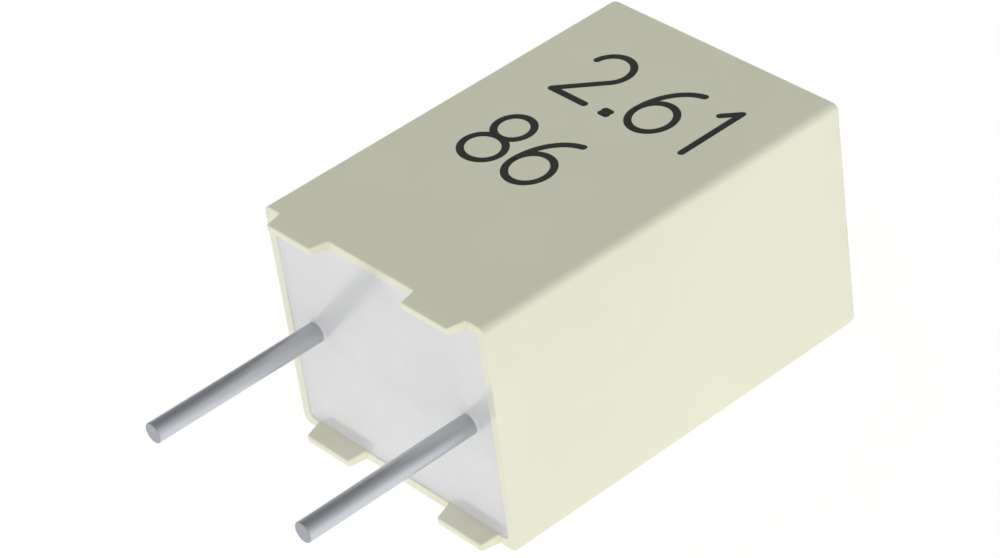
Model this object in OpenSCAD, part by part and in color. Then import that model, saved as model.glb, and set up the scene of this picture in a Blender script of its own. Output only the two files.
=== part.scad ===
// Box film capacitor for through-hole boards: a flat-pressed film roll with sprayed
// ends and welded wire leads, potted in a moulded case that stands on four feet.
//
// The part lies on one of its two large walls. X runs along the line of the leads,
// +Y from the board towards the closed end, and +Z out of the marked wall. The origin
// is on the seating plane, midway between the leads. All sizes are in millimetres.

/* [Case] */
// Length of the case, along the line of the leads
case_length = 7.2; // [6.8:0.1:8.2]
// Breadth of the case, across its two large walls
case_breadth = 6.0; // [4.6:0.1:7.2]
// Height of the case, from the tips of the feet to the closed end
case_height = 11.0; // [9.0:0.1:13.0]
// Thickness of the four walls at the rim
wall = 0.25; // [0.2:0.01:0.4]
// Thickness of the closed end
end_wall = 0.4; // [0.3:0.05:0.8]
// How far each wall of the cavity closes in from the rim to the closed end
cavity_draft = 0.08; // [0.04:0.01:0.14]
// Radius of the case's outer edges
edge_radius = 0.2; // [0.1:0.05:0.3]
// Radius in the long corners of the cavity
cavity_radius = 0.15; // [0.1:0.05:0.25]

/* [Feet] */
// Height of the feet below the rim
foot_height = 0.45; // [0.3:0.05:0.7]
// Width of a foot at its root
foot_width = 1.65; // [1.2:0.05:1.9]
// Distance from the side of the case to the root of a foot
foot_inset = 0.55; // [0.4:0.05:0.8]
// How far each flank of a foot leans in from its root to its tip
foot_lean = 0.1; // [0.05:0.01:0.2]
// Thickness of a foot at its tip
foot_tip = 0.18; // [0.12:0.01:0.2]

/* [Potting] */
// Depth of the resin's surface below the rim
resin_recess = 0.1; // [0.05:0.05:0.4]
// Depth of resin between its surface and the roll
cover_depth = 0.9; // [0.7:0.1:1.6]
// Depth of resin between the roll and the large walls, at the closed end
side_gap = 0.3; // [0.2:0.05:0.6]
// Depth of resin between the roll and the closed end
end_gap = 0.35; // [0.2:0.05:0.8]

/* [Leads] */
// Distance between the axes of the leads
lead_pitch = 5.08; // [4.6:0.02:5.4]
// Diameter of the wire
lead_diameter = 0.5; // [0.45:0.05:0.6]
// Length of the leads beyond the feet
lead_reach = 4.1; // [2.5:0.1:26]
// Length in which the wire goes from round to flat, inside the resin
lead_shoulder = 0.5; // [0.3:0.1:0.7]
// Thickness of the flattened wire where it is welded
weld_thickness = 0.32; // [0.26:0.02:0.38]
// Radius on the long edges of the flattened wire
weld_corner = 0.08; // [0.04:0.02:0.08]
// Distance from the end of the weld to the far end of the roll
weld_stop = 1.5; // [0.5:0.1:3.0]

/* [Roll] */
// Thickness of the metal sprayed on each end of the roll
spray_thickness = 0.3; // [0.2:0.05:0.5]
// Thickness of the blank outer turns that close the roll
wrap_thickness = 0.12; // [0.06:0.02:0.3]
// Gap that the winding mandrel leaves in the middle of the pressed roll
mandrel_gap = 0.08; // [0.04:0.02:0.2]

/* [Hidden] */
$fn = 64;

// overshoot that lets a cut pass cleanly through a face
cut = 1;

half_length = case_length / 2;
half_breadth = case_breadth / 2;

// places along Y, from the seating plane at 0
rim_y = foot_height;
resin_y = rim_y + resin_recess;
floor_y = case_height - end_wall;
roll_near_y = resin_y + cover_depth;
roll_far_y = floor_y - end_gap;
weld_near_y = resin_y + lead_shoulder;
weld_far_y = roll_far_y - weld_stop;

// the wrapped roll, across its flats and along its pressed section
wrap_across = case_breadth - 2 * (wall + cavity_draft + side_gap);
wrap_along = roll_far_y - roll_near_y;
roll_across = wrap_across - 2 * wrap_thickness;
roll_along = wrap_along - 2 * wrap_thickness;
roll_mid_y = (roll_near_y + roll_far_y) / 2;

// the sprayed ends reach the flattened leads, and the film fills what lies between them
spray_face_x = (lead_pitch - weld_thickness) / 2;
film_width = 2 * (spray_face_x - spray_thickness);

// the flattened wire keeps the round wire's area of section
wire_area = PI * pow(lead_diameter, 2) / 4;
weld_width = (wire_area + (4 - PI) * pow(weld_corner, 2)) / weld_thickness;

// Sets a flat shape's first axis along X, its second along Z, and stretches it along Y.
module along_y(from, to) {
    translate([0, from, 0]) rotate([-90, 0, 0]) linear_extrude(to - from) children();
}

// Sets a flat shape's first axis along Y, its second along Z, and stretches it along X.
module along_x(from, to) {
    translate([from, 0, 0]) rotate([90, 0, 90]) linear_extrude(to - from) children();
}

// Lays a flat shape's second axis where its first was, and the first where the second was.
module swap_axes() {
    mirror([1, -1]) children();
}

// A rectangle with rounded corners, centred.
module round_rect(size, radius) {
    square([size[0] - 2 * radius, size[1]], center = true);
    square([size[0], size[1] - 2 * radius], center = true);
    for (x = [-1, 1], y = [-1, 1])
        translate([x * (size[0] / 2 - radius), y * (size[1] / 2 - radius)])
            circle(r = radius);
}

// A flat strip with two half-round ends, its length along the first axis, centred.
module obround(length, width) {
    square([length - width, width], center = true);
    for (side = [-1, 1])
        translate([side * (length - width) / 2, 0]) circle(d = width);
}

// The case's block above the rim, with its long edges and its closed end rounded.
module case_block() {
    intersection() {
        along_y(rim_y, case_height)
            round_rect([case_length, case_breadth], edge_radius);
        linear_extrude(case_breadth + cut, center = true)
            closed_end_outline(case_length);
        along_x(-half_length - cut, half_length + cut)
            swap_axes() closed_end_outline(case_breadth);
    }
}

// A wall's outline, running past the rim at one end, with the two corners at the
// closed end rounded: its width lies along the first axis and its height along Y.
module closed_end_outline(width) {
    near = rim_y - cut;
    arc_y = case_height - edge_radius;
    translate([-width / 2, near]) square([width, arc_y - near]);
    translate([-width / 2 + edge_radius, near])
        square([width - 2 * edge_radius, case_height - near]);
    for (side = [-1, 1])
        translate([side * (width / 2 - edge_radius), arc_y]) circle(r = edge_radius);
}

// The tapered space inside the case, from a chosen height down to the closed end.
module cavity(from) {
    length = case_length - 2 * wall;
    breadth = case_breadth - 2 * wall;
    intersection() {
        along_y(from, floor_y) round_rect([length, breadth], cavity_radius);
        linear_extrude(case_breadth, center = true) draft_outline(length, from);
        along_x(-half_length, half_length)
            swap_axes() draft_outline(breadth, from);
    }
}

// The cavity's width over its depth: as given at the rim, and narrower by the draft at
// the closed end. Above the rim the two sides run on along the same lines.
module draft_outline(width, from) {
    lean = cavity_draft / (floor_y - rim_y);
    near = width / 2 + lean * (rim_y - from);
    far = width / 2 - cavity_draft;
    polygon([[-near, from], [near, from], [far, floor_y], [-far, floor_y]]);
}

// One foot on the large wall at +Z, to the right of the middle: it narrows and thins
// from its root at the rim to its tip on the seating plane. Behind the rim it runs on
// inside the wall.
module foot() {
    outer = half_length - foot_inset;
    inner = outer - foot_width;
    hold_y = rim_y + wall;
    intersection() {
        linear_extrude(half_breadth)
            polygon([
                [inner + foot_lean, 0], [outer - foot_lean, 0],
                [outer, rim_y], [outer, hold_y], [inner, hold_y], [inner, rim_y],
            ]);
        along_x(0, half_length)
            polygon([
                [0, half_breadth - foot_tip], [0, half_breadth],
                [hold_y, half_breadth], [hold_y, half_breadth - wall],
                [rim_y, half_breadth - wall],
            ]);
    }
}

// The flattened roll's section, stretched along X.
module pressed_roll(from, to, along, across) {
    along_x(from, to) translate([roll_mid_y, 0]) obround(along, across);
}

// A wire lead, on the left where side is -1 and on the right where it is 1. It is round
// from its cut tip to the resin. In the shoulder behind it the round wire tapers away
// and the flat one spreads to its full width, and the flat one runs on along the weld.
module lead(side) {
    translate([side * lead_pitch / 2, 0, 0]) {
        rotate([-90, 0, 0]) rotate_extrude() round_wire_profile();
        intersection() {
            along_y(resin_y, weld_far_y)
                round_rect([weld_thickness, weld_width], weld_corner);
            along_x(-lead_diameter, lead_diameter) flat_wire_outline();
        }
    }
}

// Half of the round wire's section along its axis, with the taper in the shoulder.
module round_wire_profile() {
    polygon([
        [0, -lead_reach], [lead_diameter / 2, -lead_reach],
        [lead_diameter / 2, resin_y], [weld_thickness / 2, weld_near_y],
        [0, weld_near_y],
    ]);
}

// The flat wire's outline: a point at the resin's surface, full width past the shoulder.
module flat_wire_outline() {
    edge = weld_width / 2;
    polygon([
        [resin_y, 0], [weld_near_y, edge], [weld_far_y, edge],
        [weld_far_y, -edge], [weld_near_y, -edge],
    ]);
}

// The metal sprayed on the roll's left end, -1, or right end, 1. A lead is welded to it.
module end_spray(side) {
    mirror([side < 0 ? 1 : 0, 0, 0])
        pressed_roll(film_width / 2, spray_face_x, roll_along, roll_across);
}

module case() {
    color("#e8e7d4") {
        difference() {
            case_block();
            cavity(rim_y - cut);
        }
        for (x = [0, 1], z = [0, 1]) mirror([x, 0, 0]) mirror([0, 0, z]) foot();
    }
}

module potting_resin() {
    color("#dcdcdd") difference() {
        cavity(resin_y);
        pressed_roll(-film_width / 2, film_width / 2, wrap_along, wrap_across);
        for (side = [-1, 1]) {
            end_spray(side);
            lead(side);
        }
    }
}

module film_roll() {
    color("#9fa9b3") difference() {
        pressed_roll(-film_width / 2, film_width / 2, roll_along, roll_across);
        pressed_roll(-film_width / 2 - cut, film_width / 2 + cut,
            roll_along - roll_across + mandrel_gap, mandrel_gap);
    }
}

module outer_wrap() {
    color("#d9d2b4") difference() {
        pressed_roll(-film_width / 2, film_width / 2, wrap_along, wrap_across);
        pressed_roll(-film_width / 2 - cut, film_width / 2 + cut,
            roll_along, roll_across);
    }
}

module end_spray_left() { color("#8b8d8f") end_spray(-1); }
module end_spray_right() { color("#8b8d8f") end_spray(1); }
module lead_left() { color("#c3c7cb") lead(-1); }
module lead_right() { color("#c3c7cb") lead(1); }

case();
potting_resin();
film_roll();
outer_wrap();
end_spray_left();
end_spray_right();
lead_left();
lead_right();
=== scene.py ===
"""Box film capacitor: the finished surfaces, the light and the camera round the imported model.

The shapes are worked out in millimetres, in the model's own frame: X along the line of the two
leads, +Y from the board to the closed end of the case, +Z out of the marked wall. What the solids
give is read from the frame, and the rest is named below.
"""

import math

import bpy
import numpy as np
from mathutils import Matrix, Vector


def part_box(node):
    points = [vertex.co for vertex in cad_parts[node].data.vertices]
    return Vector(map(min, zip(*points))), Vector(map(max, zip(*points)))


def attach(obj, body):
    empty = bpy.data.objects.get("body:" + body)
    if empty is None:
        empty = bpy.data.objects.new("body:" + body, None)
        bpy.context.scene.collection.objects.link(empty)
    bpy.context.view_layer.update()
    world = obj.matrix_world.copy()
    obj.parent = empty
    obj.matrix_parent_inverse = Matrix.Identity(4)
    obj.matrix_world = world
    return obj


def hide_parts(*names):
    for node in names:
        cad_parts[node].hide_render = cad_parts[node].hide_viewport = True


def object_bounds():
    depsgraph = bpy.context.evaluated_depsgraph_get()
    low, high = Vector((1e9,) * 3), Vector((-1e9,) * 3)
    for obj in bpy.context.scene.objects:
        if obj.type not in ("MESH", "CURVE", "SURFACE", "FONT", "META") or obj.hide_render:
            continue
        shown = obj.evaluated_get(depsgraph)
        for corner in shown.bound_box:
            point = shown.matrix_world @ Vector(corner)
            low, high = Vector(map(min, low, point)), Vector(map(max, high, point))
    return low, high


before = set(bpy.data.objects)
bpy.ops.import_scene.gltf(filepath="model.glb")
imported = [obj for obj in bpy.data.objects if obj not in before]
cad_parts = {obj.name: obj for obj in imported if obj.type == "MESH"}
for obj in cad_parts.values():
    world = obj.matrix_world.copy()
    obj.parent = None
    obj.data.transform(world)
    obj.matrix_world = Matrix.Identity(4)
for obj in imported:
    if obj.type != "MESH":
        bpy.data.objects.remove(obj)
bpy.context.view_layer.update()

MM = 0.001


def solid_box(node):
    """Lowest and highest corner of a solid, in millimetres."""
    low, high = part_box(node)
    return np.array(low) / MM, np.array(high) / MM


# ---------------------------------------------------------------------------------------
# Sizes, in millimetres
# ---------------------------------------------------------------------------------------

CASE_LOW, CASE_HIGH = solid_box("case")
RESIN_LOW, RESIN_HIGH = solid_box("potting_resin")
LEAD_LOW, LEAD_HIGH = solid_box("lead_right")
SPRAY_LOW, SPRAY_HIGH = solid_box("end_spray_right")
WRAP_LOW, WRAP_HIGH = solid_box("outer_wrap")

# the case and its feet
HALF_LENGTH = CASE_HIGH[0]
HALF_BREADTH = CASE_HIGH[2]
CLOSED_END_Y = CASE_HIGH[1]
EDGE_RADIUS = 0.2
FOOT_HEIGHT = 0.45
FOOT_WIDTH = 1.65
FOOT_INSET = 0.55
FOOT_LEAN = 0.1
FOOT_TIP = 0.18
RIM_Y = CASE_LOW[1] + FOOT_HEIGHT
WALL = 0.25
CAVITY_DRAFT = 0.08
CAVITY_RADIUS = 0.15
LIP_RADIUS = 0.035
ROOT_RADIUS = 0.06
TIP_RADIUS = 0.05

# the rings of the case's skin: how far into the wall the last plain one before the lip lies, the
# heights of those along the walls with how evenly their points are spaced, and how far out those
# on the two flat ends lie, as shares of the way from the middle
LIP_REST = LIP_RADIUS + 0.012
OUTSIDE_ROWS = ((8.0, 1.0), (5.0, 0.8), (2.5, 0.5))
INSIDE_ROWS = ((1.5, 0.3), (4.0, 0.6), (7.0, 0.9))
END_SHARES = (0.2, 0.6, 0.985)

# distance from an edge to the ring beside it that keeps it crisp
CRISP = 0.02

# the potting
RESIN_Y = RESIN_LOW[1]
FLOOR_Y = RESIN_HIGH[1]
WALL_CLIMB = 0.07
WALL_REACH = 0.12
WIRE_CLIMB = 0.06
WIRE_REACH = 0.06

# the leads
WIRE_X = (LEAD_LOW[0] + LEAD_HIGH[0]) / 2
WIRE_RADIUS = (LEAD_HIGH[0] - LEAD_LOW[0]) / 2
WIRE_TIP_Y = LEAD_LOW[1]
WELD_END_Y = LEAD_HIGH[1]
BLADE_HALF_WIDTH = LEAD_HIGH[2]
BLADE_HALF_THICKNESS = WIRE_X - SPRAY_HIGH[0]
BLADE_CORNER = 0.08
BLADE_RING_Y = 5.0
SHOULDER = 0.5
CUT_RADIUS = 0.025
# how far up the wire from the resin the painted shade at its root reaches
ROOT_SHADE_REACH = 2.2

# the printed marking
STROKE = 0.185
DIGIT_WIDTH = 1.08
DIGIT_HEIGHT = 1.86
INK_HEIGHT = 0.008
INK_SINK = 0.01
ROW_LEFT = -1.96
ROW_FEET = (7.47, 4.44)


# ---------------------------------------------------------------------------------------
# Meshes
# ---------------------------------------------------------------------------------------


def ring_faces(ring_count, stations, first=0):
    """Quads of a stack of closed rings: each joins two neighbours on a ring to those on the next."""
    ring, station = np.meshgrid(np.arange(ring_count - 1), np.arange(stations), indexing="ij")
    near = first + ring * stations
    far = near + stations
    following = (station + 1) % stations
    quads = np.stack([near + station, near + following, far + following, far + station], axis=-1)
    return quads.reshape(-1, 4)


def fan_faces(ring_start, stations, middle, outwards):
    """Triangles that close a ring on its middle point."""
    station = ring_start + np.arange(stations)
    following = ring_start + (np.arange(stations) + 1) % stations
    pair = (station, following) if outwards else (following, station)
    return np.stack([pair[0], pair[1], np.full(stations, middle)], axis=-1)


def closed_skin(rings):
    """Points and faces of a stack of rings, (ring, station, xyz), closed at both ends by a fan
    to the mean of the end ring, with the faces outwards."""
    ring_count, stations, _ = rings.shape
    points = np.vstack([rings.reshape(-1, 3), rings[0].mean(0), rings[-1].mean(0)])
    first_middle = ring_count * stations
    quads = ring_faces(ring_count, stations)
    caps = np.vstack([
        fan_faces(0, stations, first_middle, False),
        fan_faces((ring_count - 1) * stations, stations, first_middle + 1, True),
    ])
    return face_outwards(points, [quads, caps])


def enclosed_volume(points, face_groups):
    """Sum over the faces of the signed volume that each spans with the origin."""
    total = 0.0
    for faces in face_groups:
        for k in range(1, faces.shape[1] - 1):
            a, b, c = points[faces[:, 0]], points[faces[:, k]], points[faces[:, k + 1]]
            total += np.einsum("ij,ij->", a, np.cross(b, c)) / 6
    return total


def face_outwards(points, face_groups):
    """The same skin with every face turned over if it enclosed a negative volume."""
    if enclosed_volume(points, face_groups) < 0:
        face_groups = [faces[:, ::-1] for faces in face_groups]
    return points, face_groups


def turned_inwards(skin):
    """The skin of a hollow: the same faces, turned towards the inside."""
    points, face_groups = skin
    return points, [faces[:, ::-1] for faces in face_groups]


def joined(*skins):
    """Several skins as one set of points and faces."""
    points, face_groups, first = [], [], 0
    for skin_points, skin_faces in skins:
        points.append(skin_points)
        face_groups += [faces + first for faces in skin_faces]
        first += len(skin_points)
    return np.vstack(points), face_groups


def add_piece(name, skin, material, replaces=(), crease=40):
    """Makes a mesh object of a skin in millimetres, smooth but for edges over the crease angle."""
    points, face_groups = skin
    mesh = bpy.data.meshes.new(name)
    faces = [face for group in face_groups for face in group.tolist()]
    mesh.from_pydata((points * MM).tolist(), [], faces)
    mesh.polygons.foreach_set("use_smooth", np.ones(len(faces), bool))
    mesh.set_sharp_from_angle(angle=math.radians(crease))
    mesh.materials.append(material)
    mesh.validate()
    piece = bpy.data.objects.new(name, mesh)
    bpy.context.scene.collection.objects.link(piece)
    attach(piece, "root")
    if replaces:
        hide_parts(*replaces)


# ---------------------------------------------------------------------------------------
# Case
# ---------------------------------------------------------------------------------------


def rounded_line(corners, radii, steps=6):
    """Points and left-hand normals along a line through the corners, each inner corner turned
    into an arc: the normal swings evenly from one leg's to the next, about the arc's centre."""
    corners = np.array(corners, float)
    legs = np.diff(corners, axis=0)
    legs /= np.linalg.norm(legs, axis=1)[:, None]
    heading = np.arctan2(legs[:, 1], legs[:, 0])
    points, normals = [corners[:1]], [[[-legs[0, 1], legs[0, 0]]]]
    for corner, radius, before, after in zip(corners[1:-1], radii, heading[:-1], heading[1:]):
        turn = after - before
        side = math.copysign(1.0, turn)
        run_in = radius * math.tan(abs(turn) / 2)
        start = corner - run_in * np.array([math.cos(before), math.sin(before)])
        centre = start + side * radius * np.array([-math.sin(before), math.cos(before)])
        angle = before + turn * np.linspace(0, 1, steps + 1)
        normal = np.stack([-np.sin(angle), np.cos(angle)], axis=-1)
        points.append(centre - side * radius * normal)
        normals.append(normal)
    points.append(corners[-1:])
    normals.append([[-legs[-1, 1], legs[-1, 0]]])
    return np.vstack(points), np.vstack(normals)


def foot_edge():
    """The edge of a large wall from its middle to its long corner: level along the rim, down the
    foot's leaning flank, along its tip and back up. Points are (x, y), and normals point into
    the wall."""
    outer = HALF_LENGTH - FOOT_INSET
    inner = outer - FOOT_WIDTH
    corners = [
        (0, RIM_Y), (inner, RIM_Y), (inner + FOOT_LEAN, CASE_LOW[1]),
        (outer - FOOT_LEAN, CASE_LOW[1]), (outer, RIM_Y), (HALF_LENGTH - EDGE_RADIUS, RIM_Y),
    ]
    points, normals = rounded_line(corners, [ROOT_RADIUS, TIP_RADIUS, TIP_RADIUS, ROOT_RADIUS])
    return with_rests(points, normals)


def with_rests(points, normals, longest=0.3, margin=0.015):
    """Adds points on the straight stretches: one close to each end, and others between them so
    that no step is longer than given."""
    out_points, out_normals = [points[:1]], [normals[:1]]
    for a, b, na, nb in zip(points[:-1], points[1:], normals[:-1], normals[1:]):
        length = np.linalg.norm(b - a)
        if length > 3 * margin and np.dot(na, nb) > 0.9999:
            count = max(2, int(math.ceil((length - 2 * margin) / longest)) + 1)
            share = np.linspace(margin, length - margin, count)[:, None] / length
            out_points.append(a + (b - a) * share)
            out_normals.append(np.repeat([na], count, axis=0))
        out_points.append([b])
        out_normals.append([nb])
    return np.vstack(out_points), np.vstack(out_normals)


class CaseStations:
    """The places round the case that every ring of its skin passes through, going from +X by +Z
    and -X to -Z. A ring's point is a centre plus the ring's radius along the outward normal; the
    centre lies on an inner rectangle, at its corners for the long edges of the case."""

    ARC_STEPS = 10

    def __init__(self):
        edge, into = foot_edge()
        small_wall = np.linspace(-1, 1, 7)
        rows = []
        for quarter, (turn_x, turn_z) in enumerate([(1, 1), (-1, 1), (-1, -1), (1, -1)]):
            if quarter % 2 == 0:
                rows += self.small_wall_rows(turn_x, small_wall * turn_z)
            else:
                rows += self.large_wall_rows(edge, into, turn_x, turn_z)
            rows += self.corner_rows(turn_x, turn_z, quarter * 90)
        table = np.array(rows, float)
        self.on_x, self.on_z = table[:, 0], table[:, 1]
        self.along_x, self.along_z = table[:, 2], table[:, 3]
        self.even_x = table[:, 4]
        self.normal = table[:, 5:7]
        self.edge_y = table[:, 7]
        self.into = table[:, 8:10]

    @staticmethod
    def corner_rows(sign_x, sign_z, start):
        """The arc of one long edge, without its two ends: they belong to the walls."""
        angles = np.radians(start + np.linspace(0, 90, CaseStations.ARC_STEPS + 1)[1:-1])
        return [[sign_x, sign_z, 0, 0, 0, math.cos(a), math.sin(a), RIM_Y, 0, 1] for a in angles]

    @staticmethod
    def small_wall_rows(sign_x, shares):
        """A narrow wall, from one long edge to the other: no feet."""
        return [[sign_x, 0, 0, s, 0, sign_x, 0, RIM_Y, 0, 1] for s in shares]

    @staticmethod
    def large_wall_rows(edge, into, sign_x, sign_z):
        """A large wall, from the long edge before it to the one behind it, with its two feet."""
        right = np.column_stack([edge, into])
        left = right[1:] * [-1, 1, -1, 1]
        whole = np.vstack([right[::-1], left])
        whole = whole if sign_x < 0 else whole[::-1]
        even = np.linspace(1, -1, len(whole)) * (1 if sign_x < 0 else -1)
        return [
            [0, sign_z, x, 0, e, 0, sign_z, y, nx, ny] for (x, y, nx, ny), e in zip(whole, even)
        ]

    def ring(self, half_x, half_z, radius, y, offset=0.0, spread=0.0, radius_now=None):
        """One ring, with the outer half sizes and the corner radius of its rectangle. The edge
        of the wall is followed at the offset into it, and with spread 1 the points of a large
        wall are evenly spaced instead."""
        radius_now = radius if radius_now is None else radius_now
        reach_x, reach_z = half_x - radius, half_z - radius
        root = HALF_LENGTH - FOOT_INSET + ROOT_RADIUS
        free = np.maximum(np.abs(self.along_x) - root, 0)
        squeeze = (reach_x - root) / (HALF_LENGTH - EDGE_RADIUS - root)
        held_x = np.sign(self.along_x) * (np.minimum(np.abs(self.along_x), root) + free * squeeze)
        held_x = held_x + self.into[:, 0] * offset
        wall_x = held_x * (1 - spread) + self.even_x * reach_x * spread
        centre_x = self.on_x * reach_x + np.where(self.on_x == 0, wall_x, 0)
        x = centre_x + radius_now * self.normal[:, 0]
        z = self.on_z * reach_z + self.along_z * reach_z + radius_now * self.normal[:, 1]
        return np.stack([x, np.broadcast_to(y, x.shape), z], axis=-1)

    def edge_height(self, offset):
        """Height of the wall's edge at the offset into the wall."""
        return self.edge_y + self.into[:, 1] * offset


def wall_at(y):
    """Thickness of a wall at a height: it grows with the draft of the cavity, and thins towards
    the tip of a foot."""
    deeper = np.clip((y - RIM_Y) / (FLOOR_Y - RIM_Y), 0, 1)
    lower = np.clip((RIM_Y - y) / FOOT_HEIGHT, 0, 1)
    return WALL + CAVITY_DRAFT * deeper - (WALL - FOOT_TIP) * lower


def case_skin():
    """The case as one closed skin of rings. They start at the middle of the closed end, come
    round its edge, up the outside, over the lip, which follows the feet, and down the inside to
    the middle of the cavity's floor."""
    at = CaseStations()
    outside = (HALF_LENGTH, HALF_BREADTH, EDGE_RADIUS)

    def outer(y, offset=0.0, spread=0.0):
        return at.ring(*outside, y, offset, spread)

    def inner(y, offset=0.0, spread=0.0):
        thick = wall_at(y)
        return at.ring(
            HALF_LENGTH - thick, HALF_BREADTH - thick, CAVITY_RADIUS, y, offset, spread)

    # the closed end and its rounded edge, which starts two degrees off the flat
    arc_y = CLOSED_END_Y - EDGE_RADIUS
    rings = []
    for degrees in np.linspace(88, 0, 9):
        angle = math.radians(degrees)
        shrink = math.cos(angle) * EDGE_RADIUS
        height = arc_y + math.sin(angle) * EDGE_RADIUS
        rings.append(at.ring(*outside, height, spread=1.0, radius_now=shrink))
    flat = rings[0] * [1, 0, 1] + [0, CLOSED_END_Y, 0]
    rings = [flat * [share, 1, share] for share in END_SHARES] + rings

    # down the outside to the edge
    for height, spread in ((arc_y - CRISP, 1.0), *OUTSIDE_ROWS, (RIM_Y + 0.8, 0.3)):
        rings.append(outer(height, 0.0, spread))
    level = outer(RIM_Y + 0.35, 0.0, 0.12)
    near_edge = outer(at.edge_height(LIP_REST), LIP_REST)
    for share in (0.0, 0.35, 0.7, 1.0):
        rings.append(level * (1 - share) + near_edge * share)

    rings += lip_rings(at, outer, inner)

    # down the inside: from the edge to just above the resin, and on to the floor
    edge, last = at.edge_height(LIP_REST), RESIN_Y + 0.1
    for share in (0.0, 0.15, 0.3, 0.45, 0.6, 0.7, 0.8, 0.9, 1.0):
        height = edge * (1 - share) + last * share
        rings.append(inner(height, LIP_REST * (1 - share), 0.05 * share))
    for height, spread in (*INSIDE_ROWS, (FLOOR_Y, 1.0)):
        rings.append(inner(height, 0.0, spread))
    floor = rings[-1]
    rings += [floor * [share, 1, share] for share in reversed(END_SHARES)]
    return closed_skin(np.array(rings))


def lip_rings(at, outer, inner):
    """The lip of the case: a small round from the outer face to the edge, flat across the wall,
    and the same round down to the inner face."""
    def across(offset):
        height = at.edge_height(offset)
        outside, inside = outer(height, offset), inner(height, offset)
        step = inside - outside
        return outside, inside, step / np.linalg.norm(step, axis=1)[:, None]

    rings = []
    turns = np.radians(np.linspace(0, 90, 5))
    for turn in turns:
        outside, _, step = across(LIP_RADIUS * (1 - math.sin(turn)))
        rings.append(outside + step * LIP_RADIUS * (1 - math.cos(turn)))
    outside, inside, step = across(0.0)
    flat_start = LIP_RADIUS + 0.01
    rings.append(outside + step * flat_start)
    rings.append((outside + inside) / 2)
    rings.append(inside - step * flat_start)
    for turn in turns[::-1]:
        _, inside, step = across(LIP_RADIUS * (1 - math.sin(turn)))
        rings.append(inside - step * LIP_RADIUS * (1 - math.cos(turn)))
    return rings


# ---------------------------------------------------------------------------------------
# Leads
# ---------------------------------------------------------------------------------------


def wire_section(half_x, half_z, corner, angle):
    """A rectangle with rounded corners, given by the direction that each point's normal has."""
    x = np.sign(np.cos(angle)) * (half_x - corner) + corner * np.cos(angle)
    z = np.sign(np.sin(angle)) * (half_z - corner) + corner * np.sin(angle)
    return x, z


def wire_rings(centre_x, heights, angle):
    """Rings round a lead's axis. It is round down to the resin; in the shoulder behind the
    resin's surface its half sizes and corner radius go evenly over to those of the blade."""
    rings = []
    for y in heights:
        share = min(max((y - RESIN_Y) / SHOULDER, 0.0), 1.0)
        half_x = WIRE_RADIUS + (BLADE_HALF_THICKNESS - WIRE_RADIUS) * share
        half_z = WIRE_RADIUS + (BLADE_HALF_WIDTH - WIRE_RADIUS) * share
        corner = WIRE_RADIUS + (BLADE_CORNER - WIRE_RADIUS) * share
        x, z = wire_section(half_x, half_z, corner, angle)
        rings.append(np.stack([centre_x + x, np.full_like(x, y), z], axis=-1))
    return rings


def buried_heights():
    """Heights of the rings of a lead inside the resin, from its surface to the end of the weld."""
    shoulder = RESIN_Y + SHOULDER * np.linspace(0, 1, 9)
    return [*shoulder, RESIN_Y + SHOULDER + CRISP, BLADE_RING_Y, WELD_END_Y]


def lead_skin(side, stations=72):
    """One lead as a closed skin: the cut tip with its edge turned over by a small radius, the
    round wire, the shoulder and the flattened blade."""
    angle = np.linspace(0, 2 * math.pi, stations, endpoint=False) + math.pi / stations
    axis = np.array([side * WIRE_X, 0, 0])
    turn = np.radians(np.linspace(90, 0, 6))
    radius = WIRE_RADIUS - CUT_RADIUS * (1 - np.cos(turn))
    height = WIRE_TIP_Y + CUT_RADIUS * (1 - np.sin(turn))
    circle = np.stack([np.cos(angle), np.zeros_like(angle), np.sin(angle)], axis=-1)
    tip = axis + circle * radius[:, None, None] + height[:, None, None] * [0, 1, 0]
    disc = [axis + [0, WIRE_TIP_Y, 0] + circle * radius[0] * share for share in (0.4, 0.97)]
    free_heights = np.linspace(WIRE_TIP_Y + 0.1, RESIN_Y - 0.05, 12)
    shank = wire_rings(side * WIRE_X, [*free_heights, *buried_heights()], angle)
    return closed_skin(np.array([*disc, *tip, *shank]))


# ---------------------------------------------------------------------------------------
# Potting resin
# ---------------------------------------------------------------------------------------


def fanned(start, end, step=4.0):
    """Points from start up to end, without the end, spaced by equal angles as seen from the
    right lead's axis: each is where that ray meets the straight line between them."""
    start, end = np.array(start, float), np.array(end, float)
    axis = np.array([WIRE_X, 0])
    first = math.atan2(*(start - axis)[::-1])
    swing = (math.atan2(*(end - axis)[::-1]) - first + math.pi) % (2 * math.pi) - math.pi
    count = int(math.ceil(abs(math.degrees(swing)) / step))
    angle = first + swing * np.arange(count) / count
    ray = np.stack([np.cos(angle), np.sin(angle)], axis=-1)
    line = end - start
    across = ray[:, 0] * line[1] - ray[:, 1] * line[0]
    distance = ((start - axis)[0] * line[1] - (start - axis)[1] * line[0]) / across
    return axis + ray * distance[:, None]


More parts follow.
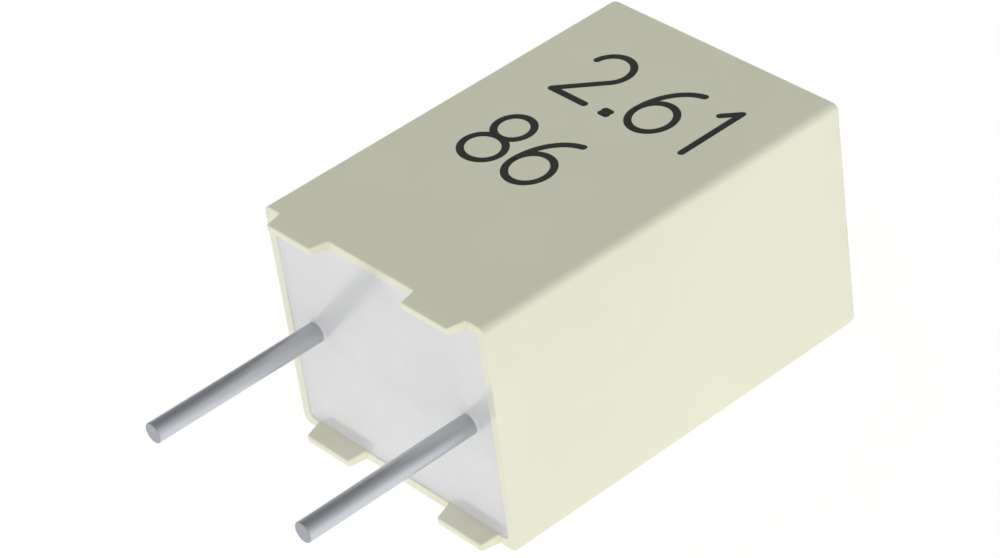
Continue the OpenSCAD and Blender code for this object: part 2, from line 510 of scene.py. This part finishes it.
def resin_border():
    """The right half of the resin's border at its surface, as (x, z), from the middle of the
    lower large wall round to the middle of the upper one, and which walls each point is on."""
    thick = wall_at(RESIN_Y)
    half_x, half_z = HALF_LENGTH - thick, HALF_BREADTH - thick
    reach_x, reach_z = half_x - CAVITY_RADIUS, half_z - CAVITY_RADIUS
    turn = np.radians(np.linspace(-90, 0, 7))
    corner = np.stack([reach_x + CAVITY_RADIUS * np.cos(turn),
                       -reach_z + CAVITY_RADIUS * np.sin(turn)], axis=-1)
    lower = fanned((0, -half_z), corner[0])
    right = fanned(corner[-1], (half_x, reach_z))
    upper_corner = corner[::-1] * [1, -1]
    upper = lower[::-1] * [1, -1]
    border = np.vstack([lower, corner[:-1], corner[-1:], right[1:], upper_corner, upper])
    hair = 1e-9
    on_large = np.abs(border[:, 1]) > reach_z + hair
    on_small = border[:, 0] > reach_x + hair
    sides = np.stack([on_small, on_large * np.sign(border[:, 1])], axis=-1)
    return border, sides


def resin_height(x, z):
    """Height of the resin's surface: level, and drawn up the walls and the wires by an amount
    that dies away exponentially with the distance from them."""
    thick = wall_at(RESIN_Y)
    reach_x = HALF_LENGTH - thick - CAVITY_RADIUS
    reach_z = HALF_BREADTH - thick - CAVITY_RADIUS
    out_x, out_z = np.abs(x) - reach_x, np.abs(z) - reach_z
    beyond = np.hypot(np.maximum(out_x, 0), np.maximum(out_z, 0))
    from_wall = CAVITY_RADIUS - (beyond + np.minimum(np.maximum(out_x, out_z), 0))
    from_wire = np.hypot(np.abs(x) - WIRE_X, z) - WIRE_RADIUS
    return (RESIN_Y - WALL_CLIMB * np.exp(-from_wall / WALL_REACH)
            - WIRE_CLIMB * np.exp(-from_wire / WIRE_REACH))


def resin_skin():
    """The cast resin as one closed skin. Its surface is a fan of rays from the wire to the border,
    in a right half and its mirror image; the border goes down the cavity to its floor, the hole
    round the wire goes on as the socket of the lead, and the pressed roll leaves its own hollow."""
    surface_rings = 29
    border, sides = resin_border()
    seam = fanned((0, border[-1, 1]), (0, border[0, 1]))[1:]
    outline = np.vstack([border, seam])
    stations = len(outline)
    bearing = np.arctan2(outline[:, 1], outline[:, 0] - WIRE_X)
    hole = np.stack([WIRE_X + WIRE_RADIUS * np.cos(bearing), WIRE_RADIUS * np.sin(bearing)], -1)
    share = (1 - np.cos(np.linspace(0, math.pi, surface_rings)))[:, None, None] / 2
    plan = hole * (1 - share) + outline * share
    surface = np.stack([plan[..., 0], resin_height(plan[..., 0], plan[..., 1]), plan[..., 1]], -1)
    socket = np.array(wire_rings(WIRE_X, buried_heights(), bearing))[::-1]
    fan = np.concatenate([socket, surface])
    fan_points = np.vstack([fan.reshape(-1, 3), socket[0].mean(0)])
    faces = [ring_faces(len(fan), stations),
             fan_faces(0, stations, len(fan_points) - 1, False)]

    # down the cavity's walls, and across its floor to the middle of the seam
    columns = len(border)
    top = surface[-1, :columns]
    depth = np.array([0.25, 0.6, 1.0])[:, None]
    height = top[:, 1] * (1 - depth) + FLOOR_Y * depth
    closer = wall_at(height) - wall_at(RESIN_Y)
    skirt = np.stack([top[:, 0] - sides[:, 0] * closer, height,
                      top[:, 2] - sides[:, 1] * closer], axis=-1)
    down = np.concatenate([top[None], skirt])
    first = len(fan_points)
    row, column = np.meshgrid(np.arange(len(down) - 1), np.arange(columns - 1), indexing="ij")
    corner = first + row * columns + column
    wall_quads = np.stack([corner, corner + 1, corner + columns + 1, corner + columns], -1)
    floor_row = first + (len(down) - 1) * columns + np.arange(columns - 1)
    middle = first + down.size // 3
    floor = np.stack([floor_row, floor_row + 1, np.full(columns - 1, middle)], -1)
    points = np.vstack([fan_points, down.reshape(-1, 3), [[0, FLOOR_Y, 0]]])
    faces += [wall_quads.reshape(-1, 4), floor]

    mirrored = points * [-1, 1, 1], [group[:, ::-1] for group in faces]
    body = welded(*joined((points, faces), mirrored))
    return joined(face_outwards(*body), turned_inwards(closed_skin(roll_hollow())))


def welded(points, face_groups):
    """The same skin with points at one place made one."""
    steps_per_mm = 1e6
    keys = np.round(points * steps_per_mm).astype(np.int64)
    _, first, inverse = np.unique(keys, axis=0, return_index=True, return_inverse=True)
    inverse = inverse.reshape(-1)
    return points[first], [inverse[faces] for faces in face_groups]


def roll_hollow():
    """The hollow that the roll fills: rings of a flat strip's outline with half-round ends,
    carried along X, wider over the wrapped film than over the two sprayed ends."""
    middle_y = (WRAP_LOW[1] + WRAP_HIGH[1]) / 2
    stations = 48

    def strip(x, along, across):
        angle = np.linspace(0, 2 * math.pi, stations, endpoint=False) + math.pi / stations
        y = middle_y + np.sign(np.cos(angle)) * (along - across) + across * np.cos(angle)
        return np.stack([np.full_like(y, x), y, across * np.sin(angle)], axis=-1)

    wrap = ((WRAP_HIGH[1] - WRAP_LOW[1]) / 2, WRAP_HIGH[2])
    spray = ((SPRAY_HIGH[1] - SPRAY_LOW[1]) / 2, SPRAY_HIGH[2])
    half = [(SPRAY_HIGH[0], spray), (SPRAY_LOW[0], spray), (SPRAY_LOW[0], wrap)]
    left = [strip(-x, *size) for x, size in half]
    right = [strip(x, *size) for x, size in half[::-1]]
    return np.array(left + right)


# ---------------------------------------------------------------------------------------
# Marking
# ---------------------------------------------------------------------------------------


def arc(centre, radii, start, end, step=6):
    """Points of an elliptical arc between two angles in degrees, about a step apart."""
    angle = np.radians(np.linspace(start, end, max(4, int(abs(end - start) / step))))
    return np.stack([centre[0] + radii[0] * np.cos(angle),
                     centre[1] + radii[1] * np.sin(angle)], axis=-1)


def digit_two():
    """A half circle that leaves at 45 degrees for the foot, and the foot."""
    half = DIGIT_WIDTH / 2
    heel = [0.02, 0]
    bow = arc((half, DIGIT_HEIGHT - half), (half, half), 170, -45)
    return [np.vstack([bow, heel]), np.array([heel, [DIGIT_WIDTH, 0]])]


def digit_six():
    """A quarter ellipse for the back that runs on into an oval."""
    half = DIGIT_WIDTH / 2
    waist = 0.56
    back = arc((DIGIT_WIDTH, waist), (DIGIT_WIDTH, DIGIT_HEIGHT - waist), 100, 180)
    return [np.vstack([back, arc((half, waist), (half, waist), 180, 540)[1:]])]


def digit_eight():
    """Two ovals, one above the other, that touch. The upper one is slimmer."""
    half = DIGIT_WIDTH / 2
    slim = half * 0.86
    waist = 0.96
    rise = (DIGIT_HEIGHT - waist) / 2
    return [arc((half, waist / 2), (half, waist / 2), 90, 450),
            arc((half, waist + rise), (slim, rise), -90, 270)]


def digit_one():
    """A stem with a short flag."""
    stem = DIGIT_WIDTH * 0.62
    flag = 0.34
    return [np.array([[stem - flag, DIGIT_HEIGHT - flag], [stem, DIGIT_HEIGHT]]),
            np.array([[stem, DIGIT_HEIGHT], [stem, 0]])]


def point_mark():
    """The point between two digits: two short strokes that run into each other."""
    width, height = 0.15, 0.12
    return [np.array([[0.0, foot], [width, foot]]) for foot in (0.0, height)]


def marking_strokes():
    """Every stroke of the two rows: the glyph's own lines moved to its place. A row gives each
    glyph with its distance from the start of the row."""
    rows = [
        [(0.0, digit_two), (1.64, point_mark), (2.14, digit_six), (3.5, digit_one)],
        [(0.0, digit_eight), (1.43, digit_six)],
    ]
    strokes = []
    for foot, row in zip(ROW_FEET, rows):
        for left, glyph in row:
            strokes += [line + [ROW_LEFT + left, foot] for line in glyph()]
    return strokes


def stroke_skin(line):
    """A printed stroke as a closed skin: a low crowned band along the line with round ends. A
    point's height falls with the sixth power of its distance from the middle of the band."""
    half = STROKE / 2
    tangent = np.gradient(line, axis=0)
    tangent /= np.linalg.norm(tangent, axis=1)[:, None]
    cap = np.radians([80, 65, 50, 35, 18])
    push = np.concatenate([-np.sin(cap), np.zeros(len(line)), np.sin(cap[::-1])])
    narrow = np.concatenate([np.cos(cap), np.ones(len(line)), np.cos(cap[::-1])])
    last = len(line) - 1
    pick = np.concatenate([np.zeros(len(cap), int), np.arange(last + 1), np.full(len(cap), last)])
    tangent = tangent[pick]
    normal = tangent[:, ::-1] * [-1, 1]
    middle = line[pick] + tangent * push[:, None] * half
    over = np.array([-1, -0.93, -0.8, -0.5, 0, 0.5, 0.8, 0.93, 1])
    place = middle[:, None] + normal[:, None] * (narrow[:, None] * over)[..., None] * half
    distance = np.hypot(push[:, None], narrow[:, None] * over)
    height = HALF_BREADTH + INK_HEIGHT * (1 - np.minimum(distance, 1) ** 6)
    crown = np.concatenate([place, height[..., None]], axis=-1)
    under = crown[:, [-1, 0]].copy()
    under[..., 2] = HALF_BREADTH - INK_SINK
    return closed_skin(np.concatenate([crown, under], axis=1))


# ---------------------------------------------------------------------------------------
# Materials
# ---------------------------------------------------------------------------------------


def shade_node(nodes, kind, **values):
    """Adds a node, and sets its properties and its input sockets by name."""
    node = nodes.new(kind)
    for key, value in values.items():
        if hasattr(node, key):
            setattr(node, key, value)
        else:
            node.inputs[key.replace("_", " ")].default_value = value
    return node


def mixed_colour(nodes, links, share, low, high):
    """The colour that lies between low and high by the share. A Mix node has its two colours at
    sockets 6 and 7, and their mixture at 2."""
    mix = shade_node(nodes, "ShaderNodeMix", data_type="RGBA")
    links.new(share, mix.inputs[0])
    for socket, colour in ((6, low), (7, high)):
        mix.inputs[socket].default_value = (*colour, 1)
    return mix.outputs[2]


def grain_group():
    """A node group for small unevenness. It takes a place in millimetres, and gives a fine grain,
    a broad cloud and a height that is the grain with some of the cloud."""
    group = bpy.data.node_groups.new("surface_grain", "ShaderNodeTree")
    face = group.interface
    face.new_socket("Place", in_out="INPUT", socket_type="NodeSocketVector")
    for label, start in (("Grain Size", 0.05), ("Cloud Size", 2.0)):
        socket = face.new_socket(label, in_out="INPUT", socket_type="NodeSocketFloat")
        socket.default_value = start
    for label in ("Grain", "Cloud", "Height"):
        face.new_socket(label, in_out="OUTPUT", socket_type="NodeSocketFloat")
    nodes, links = group.nodes, group.links
    entry = nodes.new("NodeGroupInput")
    leave = nodes.new("NodeGroupOutput")
    made = {}
    for label, size, detail in (("Grain", "Grain Size", 3.0), ("Cloud", "Cloud Size", 2.0)):
        rate = shade_node(nodes, "ShaderNodeMath", operation="DIVIDE")
        rate.inputs[0].default_value = 1.0
        links.new(entry.outputs[size], rate.inputs[1])
        noise = shade_node(nodes, "ShaderNodeTexNoise", Detail=detail, Roughness=0.55)
        links.new(entry.outputs["Place"], noise.inputs["Vector"])
        links.new(rate.outputs[0], noise.inputs["Scale"])
        links.new(noise.outputs["Fac"], leave.inputs[label])
        made[label] = noise.outputs["Fac"]
    height = shade_node(nodes, "ShaderNodeMath", operation="MULTIPLY_ADD")
    links.new(made["Cloud"], height.inputs[0])
    height.inputs[1].default_value = 0.35
    links.new(made["Grain"], height.inputs[2])
    links.new(height.outputs[0], leave.inputs["Height"])
    return group


GRAIN = grain_group()


class Finish:
    """A material under way: its nodes, the place in millimetres, and the grain of its surface."""

    def __init__(self, name, grain_size, cloud_size, stretch=(1, 1, 1), **shader):
        self.material = bpy.data.materials.new(name)
        self.material.use_nodes = True
        self.nodes = self.material.node_tree.nodes
        self.links = self.material.node_tree.links
        self.shader = self.nodes["Principled BSDF"]
        for key, value in shader.items():
            self.shader.inputs[key.replace("_", " ")].default_value = value
        where = self.nodes.new("ShaderNodeTexCoord")
        self.place = self.add("ShaderNodeMapping", Scale=[s / MM for s in stretch])
        self.links.new(where.outputs["Object"], self.place.inputs["Vector"])
        self.grain = self.add("ShaderNodeGroup", node_tree=GRAIN,
                              Grain_Size=grain_size, Cloud_Size=cloud_size)
        self.links.new(self.place.outputs[0], self.grain.inputs["Place"])

    def add(self, kind, **values):
        return shade_node(self.nodes, kind, **values)

    def ramp(self, factor, low, high, start=0.3, end=0.7):
        """A value or a colour that goes from low to high as the factor goes from start to end."""
        share = self.add("ShaderNodeMapRange", From_Min=start, From_Max=end)
        self.links.new(factor, share.inputs["Value"])
        if np.ndim(low) == 0:
            share.inputs["To Min"].default_value = low
            share.inputs["To Max"].default_value = high
            return share.outputs["Result"]
        return mixed_colour(self.nodes, self.links, share.outputs["Result"], low, high)

    def product(self, first, second):
        """Two values multiplied."""
        times = self.add("ShaderNodeMath", operation="MULTIPLY")
        self.links.new(first, times.inputs[0])
        self.links.new(second, times.inputs[1])
        return times.outputs[0]

    def colour(self, factor, low, high, start=0.3, end=0.7):
        self.links.new(self.ramp(factor, low, high, start, end), self.shader.inputs["Base Color"])

    def roughness(self, factor, low, high, start=0.3, end=0.7):
        self.links.new(self.ramp(factor, low, high, start, end), self.shader.inputs["Roughness"])

    def relief(self, height, depth_mm):
        """Bump of the given depth in millimetres."""
        bump = self.add("ShaderNodeBump", Strength=1.0, Distance=depth_mm * MM)
        self.links.new(height, bump.inputs["Height"])
        self.links.new(bump.outputs["Normal"], self.shader.inputs["Normal"])


def case_plastic():
    """Cream moulded polyester: fine satin grain, and a faint cloudiness in the colour."""
    finish = Finish("cream_case_plastic", 0.05, 2.4, IOR=1.53)
    grain = finish.grain.outputs
    finish.colour(grain["Cloud"], (0.79, 0.78, 0.625), (0.82, 0.812, 0.665))
    finish.roughness(grain["Grain"], 0.52, 0.64)
    finish.relief(grain["Height"], 0.0012)
    return finish.material


def potting_resin():
    """Pale grey cast epoxy: smooth, with a slow wave in its surface and a few fine pits."""
    finish = Finish("pale_potting_resin", 0.12, 1.5, IOR=1.55)
    grain = finish.grain.outputs
    finish.colour(grain["Cloud"], (0.70, 0.70, 0.715), (0.735, 0.735, 0.74))
    finish.roughness(grain["Grain"], 0.34, 0.46)
    finish.relief(grain["Height"], 0.003)
    return finish.material


def tinned_wire():
    """Tinned wire: bright metal with fine drawing lines along it. The sheared face at the tip
    shows the bare core, which is darker and duller. Towards the resin the wire is painted
    darker and duller as well: painted shade where the wire meets the resin."""
    stretch = 0.015
    finish = Finish("tinned_wire", 0.03, 0.4, stretch=(1, stretch, 1), Metallic=1.0)
    grain = finish.grain.outputs
    apart = finish.add("ShaderNodeSeparateXYZ")
    finish.links.new(finish.place.outputs[0], apart.inputs[0])
    shear_end = WIRE_TIP_Y + 0.5 * CUT_RADIUS
    tinned = finish.ramp(apart.outputs["Y"], 0.0, 1.0,
                         shear_end * stretch, (shear_end + CUT_RADIUS) * stretch)
    # painted shade: colour and gloss fall off towards the resin, where the wire meets it
    unshaded = finish.ramp(apart.outputs["Y"], 1.0, 0.4,
                        (RESIN_Y - ROOT_SHADE_REACH) * stretch, RESIN_Y * stretch)
    cloudy = finish.ramp(grain["Cloud"], 0.8, 1.0)
    bright = finish.product(finish.product(tinned, unshaded), cloudy)
    finish.colour(bright, (0.43, 0.44, 0.48), (0.65, 0.67, 0.71), 0.0, 1.0)
    finish.roughness(bright, 0.5, 0.34, 0.0, 1.0)
    finish.relief(grain["Height"], 0.0005)
    return finish.material


def marking_ink():
    """Dull near-black ink that covers a little unevenly."""
    finish = Finish("marking_ink", 0.03, 0.4, IOR=1.45)
    grain = finish.grain.outputs
    finish.colour(grain["Grain"], (0.018, 0.018, 0.016), (0.04, 0.04, 0.035))
    finish.roughness(grain["Cloud"], 0.5, 0.65)
    finish.relief(grain["Height"], 0.001)
    return finish.material


def wound_film(name, low, high, **shader):
    """Film wound in tight turns: fine bands at equal distances from the roll's flat middle."""
    turn_pitch = 0.12
    finish = Finish(name, 0.04, 1.0, **shader)
    apart = finish.add("ShaderNodeSeparateXYZ")
    finish.links.new(finish.place.outputs[0], apart.inputs[0])
    turns = finish.add("ShaderNodeMath", operation="MULTIPLY")
    turns.inputs[1].default_value = 2 * math.pi / turn_pitch
    finish.links.new(apart.outputs["Z"], turns.inputs[0])
    band = finish.add("ShaderNodeMath", operation="SINE")
    finish.links.new(turns.outputs[0], band.inputs[0])
    finish.colour(band.outputs[0], low, high, -1.0, 1.0)
    finish.roughness(finish.grain.outputs["Cloud"], 0.25, 0.4)
    finish.relief(finish.grain.outputs["Height"], 0.001)
    return finish.material


def sprayed_zinc():
    """Sprayed metal: dull, granular and slightly porous."""
    finish = Finish("sprayed_zinc", 0.06, 0.6, Metallic=0.8)
    grain = finish.grain.outputs
    finish.colour(grain["Grain"], (0.17, 0.18, 0.19), (0.36, 0.37, 0.38))
    finish.roughness(grain["Cloud"], 0.6, 0.85)
    finish.relief(grain["Height"], 0.02)
    return finish.material


# ---------------------------------------------------------------------------------------
# Pieces
# ---------------------------------------------------------------------------------------

wire_metal = tinned_wire()
add_piece("moulded_case", case_skin(), case_plastic(), ["case"])
add_piece("cast_resin", resin_skin(), potting_resin(), ["potting_resin"])
add_piece("left_wire", lead_skin(-1), wire_metal, ["lead_left"])
add_piece("right_wire", lead_skin(1), wire_metal, ["lead_right"])
ink_skin = joined(*[stroke_skin(line) for line in marking_strokes()])
add_piece("printed_marking", ink_skin, marking_ink(), crease=60)

zinc = sprayed_zinc()
hidden_finishes = {
    "film_roll": wound_film("metallised_film", (0.28, 0.32, 0.37), (0.42, 0.46, 0.5), Metallic=0.6),
    "outer_wrap": wound_film("clear_wrap_film", (0.6, 0.55, 0.38), (0.7, 0.66, 0.5), IOR=1.6),
    "end_spray_left": zinc,
    "end_spray_right": zinc,
}
for node, material in hidden_finishes.items():
    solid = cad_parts[node]
    solid.data.materials.clear()
    solid.data.materials.append(material)


# ---------------------------------------------------------------------------------------
# Floor, light and camera
# ---------------------------------------------------------------------------------------


def add_floor(size=400.0, glow_strength=1.16, glow_share=0.75):
    """A pale floor of the given size in millimetres. To the camera and in reflections the given
    share of it is a white glow, and the rest keeps the part's soft shadow. It stops no lamp."""
    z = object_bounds()[0].z
    half = size / 2 * MM
    mesh = bpy.data.meshes.new("floor")
    corners = [(-half, -half, z), (half, -half, z), (half, half, z), (-half, half, z)]
    mesh.from_pydata(corners, [], [(0, 1, 2, 3)])
    floor = bpy.data.objects.new("floor", mesh)
    bpy.context.scene.collection.objects.link(floor)
    floor.visible_shadow = False
    material = bpy.data.materials.new("pale_floor")
    material.use_nodes = True
    material.cycles.emission_sampling = "NONE"
    nodes, links = material.node_tree.nodes, material.node_tree.links
    nodes.clear()
    paper = shade_node(nodes, "ShaderNodeBsdfDiffuse", Color=(0.8, 0.8, 0.8, 1))
    glow = shade_node(nodes, "ShaderNodeEmission", Color=(1, 1, 1, 1), Strength=glow_strength)
    path = nodes.new("ShaderNodeLightPath")
    seen = shade_node(nodes, "ShaderNodeMath", operation="MAXIMUM")
    links.new(path.outputs["Is Camera Ray"], seen.inputs[0])
    links.new(path.outputs["Is Glossy Ray"], seen.inputs[1])
    share = shade_node(nodes, "ShaderNodeMath", operation="MULTIPLY")
    share.inputs[1].default_value = glow_share
    links.new(seen.outputs[0], share.inputs[0])
    mix = nodes.new("ShaderNodeMixShader")
    links.new(share.outputs[0], mix.inputs[0])
    links.new(paper.outputs[0], mix.inputs[1])
    links.new(glow.outputs[0], mix.inputs[2])
    output = nodes.new("ShaderNodeOutputMaterial")
    links.new(mix.outputs[0], output.inputs["Surface"])
    mesh.materials.append(material)


def add_world(bright, dim, towards, start, end):
    """A bright studio with a dim place in it. The light goes evenly from bright to dim as the
    cosine of the angle to the dim place goes from start to end, and nothing shines from below.
    The camera sees plain white."""
    world = bpy.data.worlds.new("studio")
    bpy.context.scene.world = world
    world.use_nodes = True
    nodes, links = world.node_tree.nodes, world.node_tree.links
    nodes.clear()
    where = nodes.new("ShaderNodeTexCoord")
    apart = nodes.new("ShaderNodeSeparateXYZ")
    links.new(where.outputs["Generated"], apart.inputs[0])
    close = shade_node(nodes, "ShaderNodeVectorMath", operation="DOT_PRODUCT")
    links.new(where.outputs["Generated"], close.inputs[0])
    close.inputs[1].default_value = Vector(towards).normalized()
    fall = shade_node(nodes, "ShaderNodeMapRange", From_Min=start, From_Max=end)
    links.new(close.outputs["Value"], fall.inputs["Value"])
    room = mixed_colour(nodes, links, fall.outputs["Result"], bright, dim)
    above = shade_node(nodes, "ShaderNodeMath", operation="GREATER_THAN")
    above.inputs[1].default_value = 0.0
    links.new(apart.outputs["Z"], above.inputs[0])
    lit = nodes.new("ShaderNodeBackground")
    links.new(room, lit.inputs["Color"])
    links.new(above.outputs[0], lit.inputs["Strength"])
    white = shade_node(nodes, "ShaderNodeBackground", Color=(1, 1, 1, 1), Strength=1.0)
    path = nodes.new("ShaderNodeLightPath")
    mix = nodes.new("ShaderNodeMixShader")
    links.new(path.outputs["Is Camera Ray"], mix.inputs[0])
    links.new(lit.outputs[0], mix.inputs[1])
    links.new(white.outputs[0], mix.inputs[2])
    output = nodes.new("ShaderNodeOutputWorld")
    links.new(mix.outputs[0], output.inputs["Surface"])


def add_lamp(name, travels, share, softness, colour=(1, 1, 1)):
    """A soft lamp far away whose light travels in the given direction. It lights a card that
    faces it with that share of full white, and makes no highlight of its own."""
    lamp = bpy.data.lights.new(name, "SUN")
    lamp.energy = share * math.pi
    lamp.angle = math.radians(softness)
    lamp.color = colour
    holder = bpy.data.objects.new(name, lamp)
    holder.rotation_mode = "QUATERNION"
    holder.rotation_quaternion = Vector(travels).to_track_quat("-Z", "Y")
    holder.visible_glossy = False
    bpy.context.scene.collection.objects.link(holder)


def add_camera(azimuth, elevation, roll, distance, aim, lens):
    """A camera that looks at the aim from a distance, both in millimetres. Azimuth 0 looks along
    +Y, and a positive roll turns the camera's right-hand side upwards."""
    a, e, r = (math.radians(v) for v in (azimuth, elevation, roll))
    back = Vector((math.sin(a) * math.cos(e), -math.cos(a) * math.cos(e), math.sin(e)))
    right = Vector((math.cos(a), math.sin(a), 0))
    up = back.cross(right)
    axes = Matrix((
        right * math.cos(r) + up * math.sin(r),
        up * math.cos(r) - right * math.sin(r),
        back,
    )).transposed()
    data = bpy.data.cameras.new("camera")
    data.lens = lens
    data.sensor_width = 36.0
    data.clip_start = 0.001
    data.clip_end = 2.0
    camera = bpy.data.objects.new("camera", data)
    camera.matrix_world = Matrix.Translation((Vector(aim) + back * distance) * MM) @ axes.to_4x4()
    bpy.context.scene.collection.objects.link(camera)
    bpy.context.scene.camera = camera


CEILING_TINT = (0.9, 1.0, 0.79)

add_floor()
add_world(bright=(0.84, 0.84, 0.84), dim=(0.2, 0.205, 0.21), towards=(-0.27, 0.49, 0.83),
          start=-0.1, end=1.0)
add_lamp("light_table", (0.6, 1.0, 0.66), 0.2, 5)
add_lamp("right_softbox", (-1.0, 0.1, 0.4), 0.441, 70)
add_lamp("front_softbox", (-0.1, 1.0, 0.4), 0.309, 70)
add_lamp("left_softbox", (1.0, 0.1, 0.4), 0.3, 70)
add_lamp("back_softbox", (0.1, -1.0, 0.4), 0.3, 70)
add_lamp("ceiling", (0.0, -0.8, -1.0), 0.18, 90, CEILING_TINT)
add_camera(azimuth=52.90, elevation=35.69, roll=-8.44, distance=79.14,
           aim=(-0.34, 4.04, 0.41), lens=129.57)

bpy.context.scene.view_settings.view_transform = "Standard"
